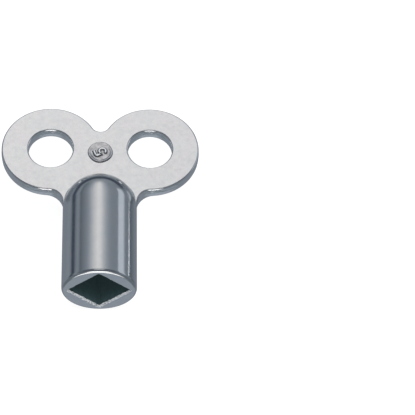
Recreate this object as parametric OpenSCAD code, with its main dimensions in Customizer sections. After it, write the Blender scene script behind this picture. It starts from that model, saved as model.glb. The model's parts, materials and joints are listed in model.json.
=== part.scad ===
// Radiator bleed key: a small die-cast key with a round barrel, a square socket in the barrel's
// end and a flat butterfly grip of two round wings, each with an eye.
// The key lies flat. The barrel's axis is Y, the mouth of the socket faces -Y at the origin,
// the wings are at +Y, and +Z is the side that carries the size numeral.
// The casting is divided into touching solids along its own features.

/* [Barrel] */
// Outside diameter of the barrel and of its ball-shaped head
barrel_d = 8.8; // [8.4:0.1:10]
// Length from the mouth to the centre of the ball-shaped head
barrel_length = 11.15; // [9:0.05:13]
// Radius of the rounded rim at the mouth
rim_r = 0.4; // [0.2:0.05:0.45]

/* [Socket] */
// Width across the flats of the square socket, for a 5 mm square spindle
socket_flats = 5.1; // [5:0.05:5.3]
// Radius of the socket's inner corners
socket_corner_r = 0.1; // [0.1:0.05:0.4]

/* [Wings] */
// Thickness of the flat grip
grip_t = 1.5; // [1.2:0.1:2]
// Radius of each round wing
wing_r = 5.92; // [5.7:0.02:6.1]
// Distance of each wing's centre from the key's centre line
wing_x = 5.98; // [5.9:0.02:6.1]
// Distance of the wings' centres from the mouth
wing_y = 19.5; // [19.4:0.05:20]
// Diameter of the eye in each wing
eye_d = 5.3; // [4.5:0.1:5.5]
// Radius of the rounded notch between the wings
notch_r = 1.1; // [0.9:0.1:1.5]
// Radius of the rounded neck between each wing and the barrel
neck_r = 2.2; // [1.5:0.1:2.4]

/* [Bridge] */
// Width of the bridge that joins the two wings
bridge_w = 5.8; // [4:0.2:6]

/* [Number pad] */
// Diameter of the round pad on the bridge
pad_d = 3.1; // [2.8:0.1:3.4]
// Distance of the pad's centre from the mouth
pad_y = 18.95; // [18.6:0.05:19.1]
// Height of the pad's raised rim above the bridge
pad_rim_h = 0.16; // [0.1:0.02:0.3]
// Width of the pad's raised rim
pad_rim_w = 0.22; // [0.15:0.01:0.3]
// Height of the pad's floor above the bridge
pad_floor_h = 0.06; // [0.04:0.01:0.08]

/* [Numeral] */
// Height of the numeral
numeral_h = 1.6; // [1.2:0.1:1.8]
// Width of the numeral
numeral_w = 1.04; // [0.9:0.02:1.1]
// Width of the numeral's stroke
stroke = 0.26; // [0.16:0.02:0.26]
// Height of the raised numeral above the bridge
numeral_top = 0.2; // [0.12:0.02:0.3]
// Turn of the numeral from the key's length
numeral_turn = 110; // [0:5:355]

/* [Hidden] */
$fn = 96;
CASTING = "lightsteelblue";
FACE = "gainsboro";
MARK = "silver";
SPAN = 40; // longer than the whole key: the size of cutting blocks

barrel_r = barrel_d / 2;
eye_r = eye_d / 2;
bridge_x = bridge_w / 2;
grip_z = grip_t / 2;

// The circles of the notch and the necks blend into the wings' and the barrel's circles. They
// reach a hair into them, so that the outlines cross instead of touching.
LAP = 0.01;
blend_r = wing_r - LAP;
notch_y = wing_y + sqrt(pow(blend_r + notch_r, 2) - pow(wing_x, 2));

// The neck's circle touches the wing's circle and the barrel's. The line from the head's centre to
// the wing's centre leads along_neck towards the neck's centre, which lies aside_neck off it.
to_head = barrel_r - LAP + neck_r;
to_wing = blend_r + neck_r;
reach = [wing_x, wing_y - barrel_length];
along_neck = (pow(to_head, 2) - pow(to_wing, 2) + reach * reach) / (2 * norm(reach));
aside_neck = sqrt(pow(to_head, 2) - pow(along_neck, 2));
neck_centre = (along_neck * reach + aside_neck * [reach.y, -reach.x]) / norm(reach);

// The bowl of the numeral is an open ring at its foot.
bowl_r = numeral_w / 2;
bowl_start = 145; // angle where the bowl meets the upright
bowl_end = 220;   // angle where the bowl ends at the numeral's foot

// ---- outlines ----

// Square of the socket with rounded corners, standing on one corner
module socket_outline() {
    flat = socket_flats - 2 * socket_corner_r;
    rotate(45) {
        square([socket_flats, flat], center = true);
        square([flat, socket_flats], center = true);
        for (x = [-1, 1], y = [-1, 1])
            translate([x, y] * flat / 2) circle(socket_corner_r);
    }
}

// Web between the round wings, with the notch at the top and a neck on each side
module web_outline() {
    difference() {
        polygon([
            [-wing_x, wing_y], [0, notch_y], [wing_x, wing_y],
            [neck_centre.x, barrel_length + neck_centre.y], [0, barrel_length],
            [-neck_centre.x, barrel_length + neck_centre.y]
        ]);
        translate([0, notch_y]) circle(notch_r);
        for (side = [-1, 1])
            translate([side * neck_centre.x, barrel_length + neck_centre.y]) circle(neck_r);
    }
}

// Numeral 5, standing on its foot, with its middle at the origin
module numeral_outline() {
    top = numeral_h / 2;
    left = -numeral_w / 2;
    bowl_y = bowl_r - top;
    join_y = bowl_y + bowl_r * sin(bowl_start) - stroke / 2;
    translate([left, top - stroke]) square([numeral_w, stroke]);
    translate([left, join_y]) square([stroke, top - join_y]);
    translate([0, bowl_y]) difference() {
        circle(bowl_r);
        circle(bowl_r - stroke);
        polygon([
            [0, 0],
            [cos(bowl_start), sin(bowl_start)] * numeral_h,
            [cos(bowl_end), sin(bowl_end)] * numeral_h
        ]);
    }
}

// ---- solids ----

// Ball that ends the barrel
module head_ball() {
    translate([0, barrel_length, 0]) sphere(barrel_r);
}

// The whole flat grip: two round wings and the web between them
module grip() {
    translate([0, 0, -grip_z]) {
        for (side = [-1, 1])
            translate([side * wing_x, wing_y, 0]) cylinder(r = wing_r, h = grip_t);
        linear_extrude(grip_t) web_outline();
    }
}

// The part of the grip between x1 and x2, with room for the head
module grip_part(x1, x2) {
    difference() {
        intersection() {
            grip();
            translate([x1, 0, -grip_t]) cube([x2 - x1, SPAN, 2 * grip_t]);
        }
        head_ball();
    }
}

// Round barrel with the rounded rim and the square socket right through it
module barrel() {
    color(CASTING) rotate([-90, 0, 0]) difference() {
        rotate_extrude() {
            translate([0, rim_r]) square([barrel_r, barrel_length - rim_r]);
            square([barrel_r - rim_r, barrel_length]);
            translate([barrel_r - rim_r, rim_r]) circle(rim_r);
        }
        translate([0, 0, -1]) linear_extrude(barrel_length + 2) socket_outline();
    }
}

// Half ball that closes the barrel and is the floor of the socket
module barrel_head() {
    color(CASTING) intersection() {
        head_ball();
        translate([-SPAN / 2, barrel_length, -SPAN / 2]) cube(SPAN);
    }
}

// One wing with its eye; side is -1 for the left and 1 for the right
module wing(side) {
    color(FACE) difference() {
        grip_part(side < 0 ? -SPAN / 2 : bridge_x, side < 0 ? -bridge_x : SPAN / 2);
        translate([side * wing_x, wing_y, -grip_t]) cylinder(r = eye_r, h = 2 * grip_t);
    }
}

module left_wing() {
    wing(-1);
}

module right_wing() {
    wing(1);
}

// Web between the wings, round the barrel's head
module bridge() {
    color(FACE) grip_part(-bridge_x, bridge_x);
}

// Round pad on the bridge with a raised rim
module number_pad() {
    color(MARK) translate([0, pad_y, grip_z]) difference() {
        cylinder(d = pad_d, h = pad_rim_h);
        translate([0, 0, pad_floor_h]) cylinder(d = pad_d - 2 * pad_rim_w, h = pad_rim_h);
    }
}

// Raised numeral on the pad: the socket's size in millimetres
module size_numeral() {
    color(MARK) translate([0, pad_y, grip_z + pad_floor_h]) rotate(numeral_turn)
        linear_extrude(numeral_top - pad_floor_h) numeral_outline();
}

barrel();
barrel_head();
left_wing();
right_wing();
bridge();
number_pad();
size_numeral();
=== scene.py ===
"""Looks of a small plated radiator bleed key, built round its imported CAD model.

The key is a die casting, so its pieces share one smooth skin. Each piece is lofted from the sizes
of its CAD node, and adds the edge rounding, root fillet, draft and wear that the CAD leaves out.
Shapes are worked out in millimetres and scaled to metres when a mesh is made.
"""

import json
import math

import bpy
from mathutils import Matrix, Vector, noise
from mathutils.geometry import delaunay_2d_cdt


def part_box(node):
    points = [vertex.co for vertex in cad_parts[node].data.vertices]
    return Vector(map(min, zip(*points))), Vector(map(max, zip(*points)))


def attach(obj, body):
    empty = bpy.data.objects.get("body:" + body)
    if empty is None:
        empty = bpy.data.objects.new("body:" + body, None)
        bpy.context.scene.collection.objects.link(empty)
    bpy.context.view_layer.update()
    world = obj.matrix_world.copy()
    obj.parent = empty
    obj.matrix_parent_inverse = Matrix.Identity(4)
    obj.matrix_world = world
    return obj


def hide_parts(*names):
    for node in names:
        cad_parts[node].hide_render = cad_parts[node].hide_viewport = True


MM = 0.001
UP = Vector((0, 0, 1))
RIGHT = Vector((1, 0, 0))
REAR = Vector((0, 1, 0))

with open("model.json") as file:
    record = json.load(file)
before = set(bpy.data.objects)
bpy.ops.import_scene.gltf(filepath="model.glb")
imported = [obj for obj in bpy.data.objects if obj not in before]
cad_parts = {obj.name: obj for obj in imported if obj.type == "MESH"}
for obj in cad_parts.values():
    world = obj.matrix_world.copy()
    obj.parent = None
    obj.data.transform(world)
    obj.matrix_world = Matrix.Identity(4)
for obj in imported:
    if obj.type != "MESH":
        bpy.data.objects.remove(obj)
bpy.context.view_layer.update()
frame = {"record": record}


# ---- sizes, in millimetres ----

def box_mm(node):
    low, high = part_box(node)
    return low / MM, high / MM


mounts = {mount["name"]: mount for mount in frame["record"]["mounts"]}
barrel_high = box_mm("barrel")[1]
bridge_high = box_mm("bridge")[1]
wing_high = box_mm("right_wing")[1]
pad_low, pad_high = box_mm("number_pad")
numeral_high = box_mm("size_numeral")[1]

# The barrel and its ball-shaped head
BARREL_R = barrel_high.x
HEAD_Y = barrel_high.y
RIM_R = 0.4              # rounding of the barrel's mouth
SOCKET_FLATS = 5.1       # width of the square socket
SOCKET_CORNER_R = 0.1
BEVEL = 0.21             # bevel round the socket's mouth
BEVEL_WANDER = 0.06      # how far the bevel's edges wander
DENT_SIZE = 0.1          # size of the dents in the bevel
DENT_DEPTH = 0.021
DENT_TILT = 14           # how far the dents tilt the bevel, in degrees
EVEN_WALL = 2.2 * BEVEL  # depth from which the socket's walls are even

# The grip
GRIP_Z = bridge_high.z
BRIDGE_X = bridge_high.x
WING_X = mounts["right_eye"]["pos_m"][0] / MM
WING_Y = mounts["right_eye"]["pos_m"][1] / MM
WING_R = wing_high.x - WING_X
EYE_R = mounts["right_eye"]["dims"]["r_mm"]
NOTCH_R = 1.1            # rounding of the notch between the wings
NECK_R = 2.2             # rounding of the neck between a wing and the head, from the parting line down
NECK_FACE_R = 1.7        # the same at the grip's upper face, as the neck's wall leans in above
EDGE_R = 0.19            # rounding of the grip's edges
DRAFT = 0.03             # how far the walls lean in from the parting line
ROOT_R = 0.2             # fillet between the grip's faces and the head
ROOT_RUN_OUT = math.radians(22)  # the fillet fades out over this angle towards the neck

# The number pad and its numeral
PAD_Y = (pad_low.y + pad_high.y) / 2
PAD_R = (pad_high.x - pad_low.x) / 2
PAD_H = pad_high.z - GRIP_Z
NUMERAL_H = numeral_high.z - GRIP_Z
NUMERAL_TALL = 1.6
NUMERAL_WIDE = 1.04
NUMERAL_TURN = math.radians(110)
STROKE = 0.26
BOWL_START = math.radians(145)
BOWL_END = math.radians(-140)

WING = Vector((WING_X, WING_Y))
HEAD = Vector((0, HEAD_Y))
NOTCH = Vector((0, WING_Y + math.sqrt((WING_R + NOTCH_R) ** 2 - WING_X ** 2)))


# ---- meshes ----

class Skin:
    """Faces, in millimetres, with the surface's direction at each corner.

    A corner is (index of a point, direction), and a row is a list of corners. Faces are turned to
    match their corners' directions. A skin whose directions are None is shaded by its faces.
    """

    def __init__(self):
        self.points = []
        self.faces = []
        self.slots = []

    def row(self, pairs):
        start = len(self.points)
        pairs = [(Vector(place).to_3d(), direction) for place, direction in pairs]
        self.points += [place for place, _ in pairs]
        return [(start + i, direction) for i, (_, direction) in enumerate(pairs)]

    def face(self, corners, slot=0):
        unique = [c for i, c in enumerate(corners) if c[0] != corners[i - 1][0]]
        if len(unique) < 3:
            return
        if unique[0][1]:
            places = [self.points[index] for index, _ in unique]
            facing = sum((a.cross(b) for a, b in zip(places[-1:] + places, places)), Vector())
            if facing.dot(sum((direction for _, direction in unique), Vector())) < 0:
                unique.reverse()
        self.faces.append(unique)
        self.slots.append(slot)

    def flat(self, corners, direction, slot=0):
        self.face([(index, direction) for index, _ in corners], slot)

    def loft(self, rows, closed=False, slot=0):
        for first, second in zip(rows, rows[1:]):
            for i in range(0 if closed else 1, len(first)):
                self.face([first[i - 1], first[i], second[i], second[i - 1]], slot)

    def sheet(self, outline, holes, direction):
        """Fills a level outline, round its holes, with even triangles."""
        loops = [outline[::-1], *holes]  # anticlockwise
        indices = [index for loop in loops for index, _ in loop]
        places = [self.points[index].to_2d() for index in indices]
        ends = [sum(len(loop) for loop in loops[:i]) for i in range(len(loops) + 1)]
        numbered = [list(range(*span)) for span in zip(ends, ends[1:])]
        flat_loops = [places[first:last] for first, last in zip(ends, ends[1:])]
        height = self.points[indices[0]].z
        for place in spread_inside(flat_loops):
            indices.append(len(self.points))
            places.append(place)
            self.points.append(Vector((*place, height)))
        _, _, faces, sources, _, inside = delaunay_2d_cdt(places, [], numbered, 0, 1e-7, True)
        for face, within in zip(faces, inside):
            if within == [0]:
                self.face([(indices[sources[i][0]], direction) for i in face])

    def mirrored(self):
        """The same skin on the other side of the key."""
        other = Skin()
        other.points = [Vector((-p.x, p.y, p.z)) for p in self.points]
        other.slots = list(self.slots)
        for corners in self.faces:
            other.faces.append([(i, Vector((-d.x, d.y, d.z))) for i, d in reversed(corners)])
        return other

    def build(self, name, node_slot, materials):
        mesh = bpy.data.meshes.new(name)
        used = sorted({index for corners in self.faces for index, _ in corners})
        renumbered = {index: i for i, index in enumerate(used)}
        faces = [[renumbered[index] for index, _ in corners] for corners in self.faces]
        mesh.from_pydata([self.points[index] * MM for index in used], [], faces)
        for material in materials:
            mesh.materials.append(material)
        mesh.polygons.foreach_set("material_index", self.slots)
        mesh.polygons.foreach_set("use_smooth", [True] * len(self.faces))
        if self.faces[0][0][1]:
            mesh.normals_split_custom_set([d.normalized() for corners in self.faces for _, d in corners])
        else:
            mesh.set_sharp_from_angle(angle=SHARP_ANGLE)
        piece = bpy.data.objects.new(name + "_skin", mesh)
        bpy.context.scene.collection.objects.link(piece)
        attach(piece, "root")
        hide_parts(name)
        return piece


GRID = 0.7  # spacing of the points inside a flat face
SHARP_ANGLE = math.radians(50)


def spread_inside(loops):
    """Points of an even grid inside the first loop, outside the others, and clear of all of them."""
    low_x, high_x = min(p.x for p in loops[0]), max(p.x for p in loops[0])
    low_y, high_y = min(p.y for p in loops[0]), max(p.y for p in loops[0])
    row_gap = GRID * math.sqrt(3) / 2
    wanted = [True] + [False] * (len(loops) - 1)
    for j in range(1, int((high_y - low_y) / row_gap) + 1):
        for i in range(1, int((high_x - low_x) / GRID) + 1):
            place = Vector((low_x + (i + j % 2 / 2) * GRID, low_y + j * row_gap))
            clear = all((place - p).length > GRID / 2 for loop in loops for p in loop)
            if clear and [is_inside(place, loop) for loop in loops] == wanted:
                yield place


def is_inside(place, loop):
    crossings = 0
    for a, b in zip(loop, loop[1:] + loop[:1]):
        if (a.y > place.y) != (b.y > place.y):
            crossings += place.x < a.x + (b.x - a.x) * (place.y - a.y) / (b.y - a.y)
    return crossings % 2 == 1


def steps(first, last, count):
    return [first + (last - first) * i / count for i in range(count + 1)]


def heading(angle):
    return Vector((math.cos(angle), math.sin(angle)))


def angle_of(direction):
    return math.atan2(direction.y, direction.x)


def leaning(path, height, lean):
    """A level path of (place, direction) at a height, with its directions turned up by lean."""
    for place, direction in path:
        turned = direction.to_3d() * math.cos(lean) + UP * math.sin(lean)
        yield place.to_3d() + UP * height, turned


# ---- the grip ----

EDGE_STEPS = 8
WALL_STEPS = 3
ROOT_STEPS = 8
ROOT_ARC_STEPS = 32
EYE_STEPS = 96
WING_STEPS = 84
NECK_STEPS = 26
NOTCH_STEPS = 20
SHOULDER_STEPS = 14
DRAFT_LEAN = math.atan(DRAFT / (GRIP_Z - EDGE_R))


def edge_levels():
    """(inset, height, lean) from the top face, round the edge and down the wall to the middle."""
    levels = []
    for turn in steps(0, math.pi / 2 - DRAFT_LEAN, EDGE_STEPS):
        inset = DRAFT + EDGE_R * (1 - math.sin(turn))
        levels.append((inset, GRIP_Z - EDGE_R * (1 - math.cos(turn)), math.pi / 2 - turn))
    inset, height, lean = levels[-1]
    return levels + [(inset * (1 - f), height * (1 - f), lean) for f in steps(0, 1, WALL_STEPS)[1:]]


EDGE = edge_levels()


def head_radius(height):
    return math.sqrt(BARREL_R ** 2 - height ** 2)


def neck_radius(height):
    return NECK_R + (NECK_FACE_R - NECK_R) * max(0, height) / GRIP_Z


def neck_centre(inset, height):
    """Centre of the neck's arc, which touches the wing's arc and the head's circle at that height."""
    to_head = head_radius(height) + inset + neck_radius(height)
    to_wing = WING_R + neck_radius(height)
    across = WING - HEAD
    along = (to_head ** 2 - to_wing ** 2 + across.length_squared) / (2 * across.length)
    aside = math.sqrt(to_head ** 2 - along ** 2)
    unit = across.normalized()
    return HEAD + unit * along + Vector((unit.y, -unit.x)) * aside


def wing_cut(inset):
    """Angle at which the wing's edge meets the bridge."""
    return math.acos((BRIDGE_X - WING_X) / (WING_R - inset))


def wing_arc(inset, first, last, count):
    return [(WING + heading(a) * (WING_R - inset), heading(a)) for a in steps(first, last, count)]


def neck_arc(inset, height):
    """The neck from the wing to the head: (place, direction away from the metal)."""
    centre = neck_centre(inset, height)
    wing_side = angle_of(WING - centre)
    head_side = angle_of(HEAD - centre) % (2 * math.pi)
    reach = neck_radius(height) + inset
    turns = steps(wing_side, head_side, NECK_STEPS)[1:]
    return [(centre + heading(a) * reach, -heading(a)) for a in turns]


def wing_rim(inset, height):
    """Edge of the right wing from the bridge, round the wing and down the neck to the head."""
    wing_side = angle_of(neck_centre(inset, height) - WING)
    return wing_arc(inset, wing_cut(inset), wing_side, WING_STEPS) + neck_arc(inset, height)


def bridge_rim(inset, height):
    """Edge of the bridge from the left wing, through the notch, to the right wing."""
    to_notch = angle_of(NOTCH - WING)
    right = wing_arc(inset, to_notch, wing_cut(inset), SHOULDER_STEPS)
    left = [(Vector((-p.x, p.y)), Vector((-d.x, d.y))) for p, d in reversed(right)]
    turn = to_notch - math.pi
    turns = steps(-math.pi - turn, turn, NOTCH_STEPS)
    notch = [(NOTCH + heading(a) * (NOTCH_R + inset), -heading(a)) for a in turns]
    return left[:-1] + notch + right[1:]


def eye_rim(inset, height):
    angles = steps(0, 2 * math.pi, EYE_STEPS)[:-1]
    return [(WING + heading(a) * (EYE_R + inset), -heading(a)) for a in angles]


def wall(skin, rim, closed=False):
    """Rows from the top face down to the bottom face. The wall has a crease at the parting line."""
    upper = [skin.row(leaning(rim(inset, z), z, lean)) for inset, z, lean in EDGE]
    lower = [skin.row(leaning(rim(inset, -z), -z, -lean)) for inset, z, lean in EDGE[:-1]]
    middle = [(index, Vector((d.x, d.y, -d.z))) for index, d in upper[-1]]
    skin.loft(upper, closed)
    skin.loft(lower + [middle], closed)
    return upper + lower[::-1]


def neck_end(side):
    """Angle at which the neck meets the head, on the upper face if side is 1, or the lower one."""
    return angle_of(neck_centre(EDGE[0][0], side * GRIP_Z) - HEAD)


def root_radius(angle, side):
    """Radius of the fillet round the head at an angle from the right. It fades out at the necks."""
    from_neck = min(angle, math.pi - angle) - neck_end(side)
    share = min(1, max(0, from_neck / ROOT_RUN_OUT))
    return ROOT_R * share * share * (3 - 2 * share)


def root_place(angle, share, side=1):
    """(distance from the head's axis, height, lean) of the fillet, from the face up to the head."""
    radius = root_radius(angle, side)
    centre_z = GRIP_Z + radius
    centre = math.sqrt((BARREL_R + radius) ** 2 - centre_z ** 2)
    turn = math.atan2(centre, centre_z) * share
    return centre - radius * math.sin(turn), centre_z - radius * math.cos(turn), math.pi / 2 - turn


def cut_angle(radius):
    """Angle at which a circle round the head meets the cut between the bridge and the right wing."""
    return math.acos(BRIDGE_X / radius)


def round_head(angle, radius, height, lean):
    """A place round the head's axis, and the direction away from it, turned up by lean."""
    away = heading(angle)
    direction = away.to_3d() * math.cos(lean) + UP * math.sin(lean)
    return (HEAD + away * radius).to_3d() + UP * height, direction


def root_row(skin, share, span, side):
    """One row of the fillet, above the grip if side is 1 and below it if side is -1."""
    first, last = span(root_place(math.pi / 2, share)[0])
    pairs = []
    for angle in steps(first, last, ROOT_ARC_STEPS):
        radius, height, lean = root_place(angle, share, side)
        pairs.append(round_head(angle, radius, side * height, side * lean))
    return skin.row(pairs)


def contact_row(skin, height, span):
    """One row of the hidden surface that touches the head."""
    top = root_place(math.pi / 2, 1)[1] / GRIP_Z
    first, last = span(head_radius(height * top))
    pairs = []
    for angle in steps(first, last, ROOT_ARC_STEPS):
        z = height * root_place(angle, 1, math.copysign(1, height))[1] / GRIP_Z
        place, away = round_head(angle, head_radius(z), z, math.asin(z / BARREL_R))
        pairs.append((place, -away))
    return skin.row(pairs)


def grip_part(rim, is_wing):
    """Skin of the right wing, or of the bridge if is_wing is false."""
    skin = Skin()
    edge = wall(skin, rim)
    eye = wall(skin, eye_rim, closed=True) if is_wing else None

    def span_to(last):
        def span(radius):
            cut = cut_angle(radius)
            return (cut, last) if is_wing else (math.pi - cut, cut)
        return span

    roots = {}
    for side, outer in ((1, edge[0]), (-1, edge[-1])):
        span = span_to(neck_end(side))
        rows = [root_row(skin, share, span, side) for share in steps(0, 1, ROOT_STEPS)]
        if is_wing:
            for row in rows:
                row[-1] = (outer[-1][0], row[-1][1])
        skin.loft(rows)
        outline = outer + rows[0][::-1][1 if is_wing else 0:]
        skin.sheet(outline, [eye[0 if side > 0 else -1]] if is_wing else [], UP * side)
        roots[side] = rows

    contact = []
    for level in edge[1:-1]:
        place = skin.points[level[-1][0]]
        span = span_to(angle_of(place.to_2d() - HEAD))
        row = contact_row(skin, place.z, span)
        if is_wing:
            row[-1] = (level[-1][0], row[-1][1])
        contact.append(row)
    hidden_top = [(index, d * -1) for index, d in roots[1][-1]]
    hidden_bottom = [(index, d * -1) for index, d in roots[-1][-1]]
    skin.loft([hidden_top, *contact, hidden_bottom])

    around = [*edge, *roots[-1], *contact[::-1], *roots[1][::-1]]
    skin.flat([row[0] for row in around], -RIGHT)
    if not is_wing:
        skin.flat([row[-1] for row in around], RIGHT)
    return skin


# ---- the barrel and its head ----

CORNER_STEPS = 8
FLAT_STEPS = 28
HEAD_STEPS = 40
RIM_STEPS = 10
SIDE_STEPS = 10
BEVEL_STEPS = 3
SOCKET_STEPS = 6
DARK = 1  # material slot of the inside of the socket, painted dark as the shade in it
WORN_HIGHLIGHT = 2  # material slot of the bevel round the socket's mouth, worn and painted white as a highlight


def socket_outline(offset=0.0):
    """Square with rounded corners that stands on one corner: (place, direction away) in x and z."""
    corner_r = SOCKET_CORNER_R + offset
    reach = (SOCKET_FLATS / 2 - SOCKET_CORNER_R) * math.sqrt(2)
    outline = []
    for quarter in range(4):
        middle = quarter * math.pi / 2
        corner = heading(middle) * reach
        turns = steps(middle - math.pi / 4, middle + math.pi / 4, CORNER_STEPS)
        outline += [(corner + heading(a) * corner_r, heading(a)) for a in turns]
        away = heading(turns[-1])
        start = outline[-1][0]
        end = heading(middle + math.pi / 2) * reach + away * corner_r
        outline += [(start.lerp(end, f), away) for f in steps(0, 1, FLAT_STEPS)[1:-1]]
    return outline


AROUND = [heading(angle_of(place)) for place, _ in socket_outline(BEVEL)]


def stand(flat, y):
    """A flat vector (x, z) as a vector of the key, at y."""
    return Vector((flat.x, y, flat.y))


def turned_row(skin, radius, y, lean):
    """A circle round the barrel's axis. lean turns its directions towards the rear."""
    pairs = []
    for away in AROUND:
        direction = stand(away, 0) * math.cos(lean) + REAR * math.sin(lean)
        pairs.append((stand(away * radius, y), direction))
    return skin.row(pairs)


def rough(place, size, seed):
    """Smooth random number, about -1 to 1, that changes over a distance of size."""
    return noise.noise(stand(place / size, seed))


def bevel_row(skin, share):
    """A row of the worn bevel at the socket's mouth, from the end face (0) to the wall (1)."""
    pairs = []
    for (outer, away), (inner, _) in zip(socket_outline(BEVEL), socket_outline()):
        wander = 1 + BEVEL_WANDER / BEVEL * (rough(outer, 0.35, 3) + 0.7 * rough(outer, 0.12, 8))
        depth = BEVEL * share * wander
        place = inner + away * BEVEL * wander * (1 - share)
        if share not in (0, 1):
            depth += DENT_DEPTH * rough(outer, DENT_SIZE, 20 + 7 * share)
        tilt = math.radians(45 + DENT_TILT * rough(outer, DENT_SIZE, 40 + 9 * share))
        pairs.append((stand(place, depth), stand(-away, 0) * math.cos(tilt) - REAR * math.sin(tilt)))
    return skin.row(pairs)


def barrel():
    skin = Skin()
    side = [turned_row(skin, BARREL_R, y, 0) for y in steps(HEAD_Y, RIM_R, SIDE_STEPS)]
    for turn in steps(0, math.pi / 2, RIM_STEPS)[1:]:
        radius = BARREL_R - RIM_R * (1 - math.cos(turn))
        side.append(turned_row(skin, radius, RIM_R * (1 - math.sin(turn)), -turn))
    skin.loft(side, closed=True)
    bevel = [bevel_row(skin, share) for share in steps(0, 1, BEVEL_STEPS)]
    for i in range(len(AROUND)):
        skin.flat([side[-1][i - 1], side[-1][i], bevel[0][i], bevel[0][i - 1]], -REAR)
    # the worn bevel, painted white as a highlight
    skin.loft(bevel, closed=True, slot=WORN_HIGHLIGHT)
    walls = []
    for y in steps(EVEN_WALL, HEAD_Y, SOCKET_STEPS):
        walls.append(skin.row((stand(place, y), stand(-away, 0)) for place, away in socket_outline()))
    mouth = [(index, d) for (index, _), (_, d) in zip(bevel[-1], walls[0])]
    # the socket's walls get the painted shade
    skin.loft([mouth, *walls], closed=True, slot=DARK)
    for i in range(len(AROUND)):
        skin.flat([side[0][i - 1], side[0][i], walls[-1][i], walls[-1][i - 1]], REAR)
    return skin


def barrel_head():
    skin = Skin()
    rows = []
    for turn in steps(0, math.pi / 2, HEAD_STEPS)[:-1]:
        rows.append(turned_row(skin, BARREL_R * math.cos(turn), HEAD_Y + BARREL_R * math.sin(turn), turn))
    pole = skin.row([(REAR * (HEAD_Y + BARREL_R), REAR)])
    skin.loft([*rows, pole * len(AROUND)], closed=True)
    floor = skin.row((stand(place, HEAD_Y), -REAR) for place, _ in socket_outline())
    for i in range(len(AROUND)):
        skin.flat([rows[0][i - 1], rows[0][i], floor[i], floor[i - 1]], -REAR)
    skin.flat(floor, -REAR, slot=DARK)
    return skin


# ---- the number pad and its numeral ----

PAD_STEPS = 72
PAD_FLOOR = 0.3    # height of the pad's floor, as a share of its rim's height
PAD_UNEVEN = 0.03  # how far the pad's edge draws in and out, as a share of its radius
PAD_EDGE = 0.7     # share of the pad's radius outside which it is uneven
RIM_TURN = math.radians(12)  # turn of the rim's tallest side from the front towards the right
PAD_PROFILE = (  # share of the pad's radius, rise of the boss, rise of its rim
    (1.0, 0.0, 0.0), (0.99, 0.4, 0.1), (0.97, 0.75, 0.5), (0.94, 0.9, 0.85), (0.9, 0.97, 1.0),
    (0.86, 1.0, 0.9), (0.81, 1.0, 0.55), (0.76, 1.0, 0.25), (0.7, 1.0, 0.08), (0.6, 1.0, 0.0),
    (0.4, 1.0, 0.0), (0.2, 1.0, 0.0),
)
FOOT_SHADE_SLOT = 1  # material slot of the feet of the pad and the numeral, painted dark as the shade in their corners


def pad_rim(angle):
    """How much of the pad's rim is left at an angle: all at the front, and none at the rear."""
    to_front = 0.5 - 0.5 * math.sin(angle - RIM_TURN)
    return to_front * to_front * (3 - 2 * to_front)


def number_pad():
    """Low round boss whose rim is tall at the front and fades out towards the rear."""
    skin = Skin()
    rows = []
    for share, boss, rim in PAD_PROFILE:
        pairs = []
        for angle in steps(0, 2 * math.pi, PAD_STEPS)[:-1]:
            away = heading(angle)
            worn = 0.198 * rough(away, 0.5, 5) + 0.11 * rough(away, 0.16, 9)
            radius = PAD_R * share
            if share > PAD_EDGE:
                radius *= 1 - PAD_UNEVEN * (1 + rough(away, 0.7, 1))
            rise = PAD_FLOOR * boss + (1 - PAD_FLOOR) * rim * pad_rim(angle) * (1 + worn)
            spot = away * radius + Vector((0, PAD_Y))
            pairs.append((spot.to_3d() + UP * (GRIP_Z + PAD_H * min(1, rise)), None))
        rows.append(skin.row(pairs))
    centre = skin.row([((0, PAD_Y, GRIP_Z + PAD_H * PAD_FLOOR), None)])
    skin.face(rows[0][::-1])
    # the pad's foot is painted dark as shade
    skin.loft(rows[:3], closed=True, slot=FOOT_SHADE_SLOT)
    skin.loft([*rows[2:], centre * PAD_STEPS], closed=True)
    return skin


def numeral_lines():
    """Centre lines of the numeral 5: its bar and upright, and its bowl."""
    half = STROKE / 2
    top = NUMERAL_TALL / 2 - half
    left = half - NUMERAL_WIDE / 2
    bend_r = 1.7 * half
    bend = Vector((left + bend_r, top - bend_r))
    bowl = Vector((0, NUMERAL_WIDE / 2 - NUMERAL_TALL / 2))
    bowl_r = NUMERAL_WIDE / 2 - half
    foot = bowl + heading(BOWL_START) * bowl_r
    bar = [Vector((x, top)) for x in steps(-left, bend.x, 6)]
    bar += [bend + heading(a) * bend_r for a in steps(math.pi / 2, math.pi, 6)[1:]]
    bar += [bar[-1].lerp(foot, f) for f in steps(0, 1, 4)[1:]]
    return bar, [bowl + heading(a) * bowl_r for a in steps(BOWL_START, BOWL_END, 40)]


NUMERAL_SECTION = (  # across the stroke, as a share of half its width, and share of its height
    (-1.9, 0.0), (-1.2, 0.3), (-1.08, 0.92), (-1.0, 1.0), (1.0, 1.0), (1.08, 0.92), (1.2, 0.3),
    (1.9, 0.0),
)
END_TURNS = [math.radians(turn) for turn in (20, 42, 66)]


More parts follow.
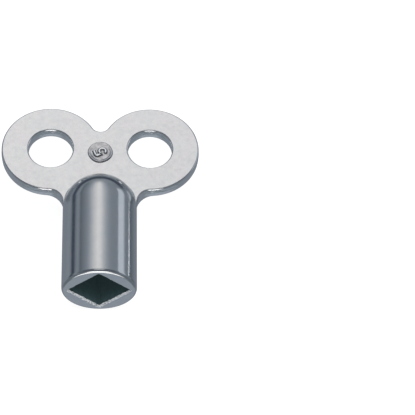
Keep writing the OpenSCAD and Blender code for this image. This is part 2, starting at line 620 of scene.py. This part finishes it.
def raised_stroke(skin, line):
    """A stroke along a line with flared feet, painted dark as shade where they meet the pad."""
    half = STROKE / 2
    base = GRIP_Z + PAD_FLOOR * PAD_H
    tall = GRIP_Z + NUMERAL_H - base
    ahead = (line[1] - line[0]).normalized()
    behind = (line[-1] - line[-2]).normalized()
    sections = [(line[0] - ahead * half * math.cos(a), ahead, math.sin(a)) for a in END_TURNS]
    for i, place in enumerate(line):
        along = line[min(i + 1, len(line) - 1)] - line[max(i - 1, 0)]
        sections.append((place, along.normalized(), 1))
    sections += [(line[-1] + behind * half * math.cos(a), behind, math.sin(a)) for a in END_TURNS[::-1]]
    turn = Matrix.Rotation(NUMERAL_TURN, 2)
    rows = []
    for place, along, size in sections:
        pairs = []
        for side, rise in NUMERAL_SECTION:
            spot = turn @ (place + Vector((along.y, -along.x)) * half * side * size) + Vector((0, PAD_Y))
            pairs.append((spot.to_3d() + UP * (base + tall * rise * size ** 0.5), None))
        rows.append(skin.row(pairs))
    # the flared feet, the ends and the underside are painted dark as shade
    skin.loft([row[:3] for row in rows], slot=FOOT_SHADE_SLOT)
    skin.loft([row[2:-2] for row in rows])
    skin.loft([row[-3:] for row in rows], slot=FOOT_SHADE_SLOT)
    skin.loft([[row[-1], row[0]] for row in rows], slot=FOOT_SHADE_SLOT)
    skin.face(rows[0][::-1], slot=FOOT_SHADE_SLOT)
    skin.face(rows[-1], slot=FOOT_SHADE_SLOT)


def size_numeral():
    """Raised numeral 5, of two strokes."""
    skin = Skin()
    for line in numeral_lines():
        raised_stroke(skin, line)
    return skin


# ---- materials ----

def new_material(name):
    material = bpy.data.materials.new(name)
    material.use_nodes = True
    return material, material.node_tree, material.node_tree.nodes["Principled BSDF"]


def add(tree, kind, settings=None, inputs=None):
    """Adds a node. inputs gives sockets their values, or the sockets that feed them."""
    node = tree.nodes.new(kind)
    for key, value in (settings or {}).items():
        setattr(node, key, value)
    for key, value in (inputs or {}).items():
        if isinstance(value, bpy.types.NodeSocket):
            tree.links.new(value, node.inputs[key])
        else:
            node.inputs[key].default_value = value
    return node


def noise_field(tree, size, detail=4.0, stretch=(1, 1, 1)):
    """Noise whose blotches are about size millimetres across."""
    places = add(tree, "ShaderNodeTexCoord").outputs["Object"]
    scale = [share / (size * MM) for share in stretch]
    mapped = add(tree, "ShaderNodeMapping", inputs={"Vector": places, "Scale": scale})
    inputs = {"Vector": mapped.outputs[0], "Scale": 1.0, "Detail": detail, "Roughness": 0.6}
    return add(tree, "ShaderNodeTexNoise", inputs=inputs).outputs[0]


def colours(tree, factor, stops):
    """A colour ramp of (position, colour) stops."""
    node = add(tree, "ShaderNodeValToRGB", inputs={"Fac": factor})
    elements = node.color_ramp.elements
    while len(elements) < len(stops):
        elements.new(0.5)
    for element, (position, colour) in zip(elements, stops):
        element.position = position
        element.color = (*colour, 1)
    return node.outputs[0]


def spread(tree, factor, low, high, start=0.3, end=0.7):
    """Maps start to low and end to high."""
    inputs = {"Value": factor, "From Min": start, "From Max": end, "To Min": low, "To Max": high}
    return add(tree, "ShaderNodeMapRange", inputs=inputs).outputs[0]


def bumps(tree, layers):
    """Normal from layers of (height, depth in millimetres)."""
    normal = None
    for height, depth in layers:
        inputs = {"Height": height, "Distance": depth * MM, "Strength": 1.0}
        if normal:
            inputs["Normal"] = normal
        normal = add(tree, "ShaderNodeBump", inputs=inputs).outputs[0]
    return normal


def levelness(tree):
    """1 on level faces and 0 on upright walls."""
    normal = add(tree, "ShaderNodeNewGeometry").outputs["Normal"]
    height = add(tree, "ShaderNodeSeparateXYZ", inputs={0: normal}).outputs[2]
    return add(tree, "ShaderNodeMath", {"operation": "ABSOLUTE"}, {0: height}).outputs[0]


FACE_STARTS = 0.97   # levelness from which the polish of the edges gives way
FACE_IS_FULL = 0.998


def rubbed(tree, roughness, polished):
    """The roughness on level faces, and polished on edges and walls, which rub on other keys."""
    return spread(tree, levelness(tree), polished, roughness, FACE_STARTS, FACE_IS_FULL)


def wall_streaks(tree):
    """Height of the fine streaks that the die leaves along the walls, and level on the faces."""
    streaks = noise_field(tree, 1.0, 3, (1, 1, 3))
    return times(tree, streaks, spread(tree, levelness(tree), 1.0, 0.0, 0.15, 0.6))


def satin_casting():
    """Plated flat faces, barrelled to a satin finish with faint warm and cool blotches."""
    material, tree, shader = new_material("satin_casting")
    tints = ((0.30, (0.835, 0.850, 0.848)), (0.47, (0.852, 0.852, 0.857)), (0.62, (0.872, 0.848, 0.860)))
    tree.links.new(colours(tree, noise_field(tree, 1.6), tints), shader.inputs["Base Color"])
    roughness = spread(tree, noise_field(tree, 0.5), 0.18, 0.27)
    tree.links.new(rubbed(tree, roughness, 0.09), shader.inputs["Roughness"])
    layers = [(noise_field(tree, 1.1, 2), 0.010), (noise_field(tree, 0.18, 3), 0.0035)]
    tree.links.new(bumps(tree, [*layers, (wall_streaks(tree), 0.04)]), shader.inputs["Normal"])
    shader.inputs["Metallic"].default_value = 1.0
    return material


def polished_casting():
    """Plated round barrel, rubbed bright along its length."""
    material, tree, shader = new_material("polished_casting")
    tints = ((0.30, (0.640, 0.655, 0.675)), (0.55, (0.675, 0.680, 0.690)), (0.70, (0.690, 0.680, 0.685)))
    tree.links.new(colours(tree, noise_field(tree, 1.8), tints), shader.inputs["Base Color"])
    roughness = spread(tree, noise_field(tree, 0.6), 0.10, 0.17)
    tree.links.new(roughness, shader.inputs["Roughness"])
    waves = noise_field(tree, 2.2, 2, (1, 0.3, 1))
    grain = noise_field(tree, 0.16, 3, (1, 0.5, 1))
    layers = ((waves, 0.010), (grain, 0.0010))
    tree.links.new(bumps(tree, layers), shader.inputs["Normal"])
    shader.inputs["Metallic"].default_value = 1.0
    return material


def rubbed_highlit_mark():
    """Tops of the numeral's strokes, which stand proud and are rubbed smooth, painted near white as the
    highlight they catch.
    """
    material, tree, shader = new_material("rubbed_highlit_mark")
    tints = ((0.30, (0.93, 0.93, 0.94)), (0.7, (0.99, 0.99, 0.985)))
    tree.links.new(colours(tree, noise_field(tree, 0.5), tints), shader.inputs["Base Color"])
    roughness = spread(tree, noise_field(tree, 0.3), 0.07, 0.12)
    tree.links.new(roughness, shader.inputs["Roughness"])
    tree.links.new(bumps(tree, [(noise_field(tree, 0.3, 2), 0.001)]), shader.inputs["Normal"])
    shader.inputs["Metallic"].default_value = 1.0
    return material


def cast_mark():
    """The number pad, left as cast: the same plate, rougher and greyer."""
    material, tree, shader = new_material("cast_mark")
    tints = ((0.32, (0.47, 0.465, 0.48)), (0.5, (0.62, 0.61, 0.625)), (0.66, (0.76, 0.75, 0.76)))
    tree.links.new(colours(tree, noise_field(tree, 0.4), tints), shader.inputs["Base Color"])
    roughness = spread(tree, noise_field(tree, 0.25), 0.18, 0.32)
    tree.links.new(roughness, shader.inputs["Roughness"])
    layers = ((noise_field(tree, 0.35, 2), 0.010), (noise_field(tree, 0.12, 3), 0.003))
    tree.links.new(bumps(tree, layers), shader.inputs["Normal"])
    shader.inputs["Metallic"].default_value = 1.0
    return material


def painted_corner_shade():
    """Painted shade: dark grey at the feet of the pad and the numeral, where their corners fall in shade.
    """
    material, tree, shader = new_material("painted_corner_shade")
    tints = ((0.30, (0.13, 0.132, 0.135)), (0.55, (0.20, 0.20, 0.205)), (0.75, (0.34, 0.335, 0.34)))
    tree.links.new(colours(tree, noise_field(tree, 0.3), tints), shader.inputs["Base Color"])
    roughness = spread(tree, noise_field(tree, 0.2), 0.35, 0.55)
    tree.links.new(roughness, shader.inputs["Roughness"])
    tree.links.new(bumps(tree, [(noise_field(tree, 0.12, 3), 0.004)]), shader.inputs["Normal"])
    shader.inputs["Metallic"].default_value = 0.8
    return material


def worn_edge_and_highlight():
    """Bevel that spindles have rubbed to a frosted edge, painted white as a bright highlight on it."""
    material, tree, shader = new_material("worn_edge_and_highlight")
    tints = ((0.38, (0.44, 0.47, 0.49)), (0.47, (0.90, 0.92, 0.94)), (0.58, (1.0, 1.0, 1.0)))
    tree.links.new(colours(tree, noise_field(tree, 0.2), tints), shader.inputs["Base Color"])
    roughness = spread(tree, noise_field(tree, 0.3), 0.42, 0.6)
    tree.links.new(roughness, shader.inputs["Roughness"])
    tree.links.new(bumps(tree, [(noise_field(tree, 0.14, 3), 0.012)]), shader.inputs["Normal"])
    shader.inputs["Metallic"].default_value = 0.0
    return material


def painted_socket_shade():
    """Walls and floor of the socket, painted dark as the shade deep inside it, with a faint painted glow.
    """
    material, tree, shader = new_material("painted_socket_shade")
    tints = ((0.30, (0.075, 0.125, 0.135)), (0.55, (0.098, 0.158, 0.168)), (0.72, (0.120, 0.184, 0.192)))
    tree.links.new(colours(tree, noise_field(tree, 0.7), tints), shader.inputs["Base Color"])
    roughness = spread(tree, noise_field(tree, 0.4), 0.6, 0.8)
    tree.links.new(roughness, shader.inputs["Roughness"])
    tree.links.new(bumps(tree, [(noise_field(tree, 0.2, 3), 0.012)]), shader.inputs["Normal"])
    shader.inputs["Metallic"].default_value = 0.3
    shader.inputs["Emission Color"].default_value = (0.35, 0.60, 0.62, 1)  # light bounced deep inside
    shader.inputs["Emission Strength"].default_value = 0.02
    return material


def floor_paint():
    """Top of a white light table: it glows, so that hardly any shadow shows on it."""
    material, tree, shader = new_material("light_table")
    tints = ((0.3, (0.14, 0.14, 0.14)), (0.7, (0.16, 0.16, 0.16)))
    tree.links.new(colours(tree, noise_field(tree, 30), tints), shader.inputs["Base Color"])
    shader.inputs["Roughness"].default_value = 0.9
    shader.inputs["Emission Color"].default_value = (1, 1, 1, 1)
    shader.inputs["Emission Strength"].default_value = 0.94
    return material


# ---- studio ----

def fade(tree, value, start, end):
    """Smooth step from 0 at start to 1 at end, in degrees."""
    low, high = min(start, end), max(start, end)
    inputs = {"Value": value, "From Min": low, "From Max": high}
    if start > end:
        inputs.update({"To Min": 1.0, "To Max": 0.0})
    return add(tree, "ShaderNodeMapRange", {"interpolation_type": "SMOOTHSTEP"}, inputs).outputs[0]


def times(tree, *factors):
    product = factors[0]
    for factor in factors[1:]:
        inputs = {0: product, 1: factor}
        product = add(tree, "ShaderNodeMath", {"operation": "MULTIPLY"}, inputs).outputs[0]
    return product


def window(tree, value, rise, top, end, fall):
    """1 from top to end, and 0 before rise and after fall. A side whose limits are None is open."""
    sides = [(start, full) for start, full in ((rise, top), (fall, end)) if start is not None]
    return times(tree, *[fade(tree, value, start, full) for start, full in sides])


def cover(tree, factor, under, over):
    """Paints the colour over on the colour that the socket under gives, by factor."""
    inputs = {0: factor, 6: under, 7: (*over, 1)}
    return add(tree, "ShaderNodeMix", {"data_type": "RGBA"}, inputs).outputs[2]


# Directions in the studio are angles in degrees. "across" turns from straight up towards the right,
# and "to_rear" rises from the upright plane across the key towards its rear. "above" rises from the
# horizon, and "around" turns from the front towards the right.

# Brightness of the studio from floor to floor across the key: angle across, and strength there
PANORAMA = (
    (-180, 0.24), (-130, 0.26), (-107, 0.30), (-97, 0.22), (-93, 0.14), (-88, 0.11),
    (-83, 0.16), (-79, 0.22), (-72, 0.29), (-67, 0.28), (-61, 0.15), (-54, 0.20), (-44, 0.26),
    (-37, 0.31), (-31, 0.40), (-25, 0.52), (-18, 0.67), (-12, 0.77), (-5, 0.90), (3, 0.84),
    (13, 0.58), (19, 0.46), (25, 0.37), (31, 0.31), (38, 0.28), (59, 0.26), (87, 0.24), (104, 0.24),
    (107, 0.13), (111, 0.15), (122, 0.19), (135, 0.24),
)
SHADE = (0.84, 1.03, 1.26)   # tint of the studio's dim parts
BRIGHT = 0.75                # strength from which the light is neutral
RIGHT_PANEL = (0.62, 0.67, 0.74)
RIGHT_LINE = (3.5, 3.65, 3.8)
FRONT_BOX = (2.0, 2.0, 2.0)
OVERHEAD_DARK = (0.12, 0.14, 0.165)
ZENITH_BOX = (0.76, 0.76, 0.77)
REAR_DIM = (0.30, 0.335, 0.37)
HORIZON_DARK = (0.06, 0.075, 0.105)
FRONT_DIM = (0.17, 0.20, 0.225)
FRONT_FLOOR = (0.345, 0.39, 0.445)
BACKDROP = (1.0, 1.0, 1.0)

# What covers the panorama, in the order of painting: its light, and the limits between which it
# lies, as (where it starts, where it is full, where it is still full, where it has ended)
IN_FRONT = (None, None, -20, -5)
STUDIO_PARTS = (
    (REAR_DIM, {"to_rear": (56, 78, None, None), "above": (-4, 4, None, None)}),
    (RIGHT_PANEL, {"across": (59, 60.5, 77, 87), "to_rear": (-5, 5, 42, 50)}),
    (RIGHT_LINE, {"across": (100.5, 102.5, 103.5, 105.5), "to_rear": (30.4, 31.8, 31.9, 32.2)}),
    (HORIZON_DARK, {"above": (-6, -1, 3, 9), "across": (None, None, 20, 60)}),
    (HORIZON_DARK, {"above": (-11, -5, 2, 9), "to_rear": (44, 54, None, None)}),
    (OVERHEAD_DARK, {"to_rear": (-34, -20, 19, 27), "across": (-62, -40, 40, 62)}),
    (FRONT_DIM, {"to_rear": IN_FRONT, "above": (None, None, 2, 8)}),
    (FRONT_FLOOR, {"to_rear": IN_FRONT, "above": (None, None, -58, -48)}),
    (OVERHEAD_DARK, {"to_rear": IN_FRONT, "above": (16, 26, None, None)}),
    (ZENITH_BOX, {"to_rear": (-15, -9, 9, 15), "across": (-17, -10, 10, 17)}),
    (FRONT_BOX, {"to_rear": IN_FRONT, "above": (-5, 1, 19, 25), "around": (-27, -13, 13, 27)}),
    (FRONT_BOX, {"to_rear": IN_FRONT, "above": (-40, -34, -18, -11), "around": (-26, -16, 16, 26)}),
)


def panorama_stops():
    for angle, strength in PANORAMA:
        neutral = min(1, strength / BRIGHT)
        tint = [shade + (1 - shade) * neutral for shade in SHADE]
        yield (angle + 180) / 360, [strength * channel for channel in tint]


def paint_studio():
    """World of soft boxes and dark gaps for the metal to mirror. The camera sees a plain backdrop."""
    world = bpy.data.worlds.new("studio")
    bpy.context.scene.world = world
    world.use_nodes = True
    tree = world.node_tree
    tree.nodes.clear()
    direction = add(tree, "ShaderNodeTexCoord").outputs["Generated"]
    parts = add(tree, "ShaderNodeSeparateXYZ", inputs={0: direction}).outputs

    def degrees(operation, *values):
        node = add(tree, "ShaderNodeMath", {"operation": operation}, dict(enumerate(values)))
        return add(tree, "ShaderNodeMath", {"operation": "DEGREES"}, {0: node.outputs[0]}).outputs[0]

    to_front = add(tree, "ShaderNodeMath", {"operation": "MULTIPLY"}, {0: parts[1], 1: -1.0}).outputs[0]
    angles = {
        "across": degrees("ARCTAN2", parts[0], parts[2]),
        "to_rear": degrees("ARCSINE", parts[1]),
        "above": degrees("ARCSINE", parts[2]),
        "around": degrees("ARCTAN2", parts[0], to_front),
    }

    light = colours(tree, spread(tree, angles["across"], 0.0, 1.0, -180, 180), list(panorama_stops()))
    for colour, limits in STUDIO_PARTS:
        windows = [window(tree, angles[name], *limit) for name, limit in limits.items()]
        light = cover(tree, times(tree, *windows), light, colour)

    seen = add(tree, "ShaderNodeLightPath").outputs["Is Camera Ray"]
    mirrored = add(tree, "ShaderNodeBackground", inputs={"Color": light})
    backdrop = add(tree, "ShaderNodeBackground", inputs={"Color": (*BACKDROP, 1)})
    mix = add(tree, "ShaderNodeMixShader", inputs={0: seen, 1: mirrored.outputs[0], 2: backdrop.outputs[0]})
    add(tree, "ShaderNodeOutputWorld", inputs={"Surface": mix.outputs[0]})


FLOOR_REACH = 1.5  # metres from the floor's middle to its sides
LAMP_PLACE = Vector((0.1, 0.2, 0.9))  # metres
LAMP_SIZE = 1.2    # metres
LAMP_POWER = 13    # watts


def lay_floor():
    """Pale floor under the barrel. The metal mirrors the painted studio instead of it."""
    mesh = bpy.data.meshes.new("floor")
    corners = [(x * FLOOR_REACH, y * FLOOR_REACH, 0) for x, y in ((-1, -1), (1, -1), (1, 1), (-1, 1))]
    mesh.from_pydata(corners, [], [(0, 1, 2, 3)])
    mesh.materials.append(floor_paint())
    floor = bpy.data.objects.new("floor", mesh)
    floor.location.z = -BARREL_R * MM
    floor.visible_glossy = False
    floor.visible_diffuse = False
    bpy.context.scene.collection.objects.link(floor)


def hang_lamp():
    """Large soft lamp that lights the floor and faces the key."""
    data = bpy.data.lights.new("overhead_lamp", "AREA")
    data.shape = "DISK"
    data.size = LAMP_SIZE
    data.energy = LAMP_POWER
    lamp = bpy.data.objects.new("overhead_lamp", data)
    lamp.location = LAMP_PLACE
    lamp.rotation_euler = (-LAMP_PLACE).to_track_quat("-Z", "Y").to_euler()
    lamp.visible_glossy = False
    bpy.context.scene.collection.objects.link(lamp)


CAMERA_AIM = Vector((12.81, 11.62, 0))  # millimetres: the key lies left of the middle of the view
CAMERA_DISTANCE = 271.5                 # millimetres
CAMERA_ELEVATION = math.radians(57.07)
CAMERA_AZIMUTH = math.radians(4.50)     # from the front towards the left
CAMERA_ROLL = math.radians(4.12)
CAMERA_LENS = 197.7                     # millimetres
SENSOR_WIDTH = 36                       # millimetres
CLIP_START = 0.01                       # metres


def place_camera():
    data = bpy.data.cameras.new("camera")
    data.lens = CAMERA_LENS
    data.sensor_width = SENSOR_WIDTH
    data.clip_start = CLIP_START
    camera = bpy.data.objects.new("camera", data)
    level = math.cos(CAMERA_ELEVATION)
    back = Vector((
        -math.sin(CAMERA_AZIMUTH) * level,
        -math.cos(CAMERA_AZIMUTH) * level,
        math.sin(CAMERA_ELEVATION),
    ))
    camera.location = (CAMERA_AIM + back * CAMERA_DISTANCE) * MM
    turn = Matrix.Rotation(CAMERA_ROLL, 3, back)
    camera.rotation_euler = (turn @ back.to_track_quat("Z", "Y").to_matrix()).to_euler()
    bpy.context.scene.collection.objects.link(camera)
    bpy.context.scene.camera = camera


# ---- the key in its studio ----

satin = satin_casting()
polished = polished_casting()
# the numeral's tops are painted near white as a highlight
proud = rubbed_highlit_mark()
marking = cast_mark()
# painted shade at the feet of the pad and the numeral
foot_shade = painted_corner_shade()
# the socket's inside is painted dark as shade, with a faint painted glow
inside = painted_socket_shade()
# the bevel is worn, and painted white as a highlight
worn = worn_edge_and_highlight()

right_wing = grip_part(wing_rim, True)
right_wing.build("right_wing", "satin_casting", [satin])
right_wing.mirrored().build("left_wing", "satin_casting", [satin])
grip_part(bridge_rim, False).build("bridge", "satin_casting", [satin])
barrel().build("barrel", "polished_casting", [polished, inside, worn])
barrel_head().build("barrel_head", "polished_casting", [polished, inside])
number_pad().build("number_pad", "satin_casting", [marking, foot_shade])
size_numeral().build("size_numeral", "satin_casting", [proud, foot_shade])

place_camera()
paint_studio()
lay_floor()
hang_lamp()

view = bpy.context.scene.view_settings
view.view_transform = "Standard"
view.look = "None"
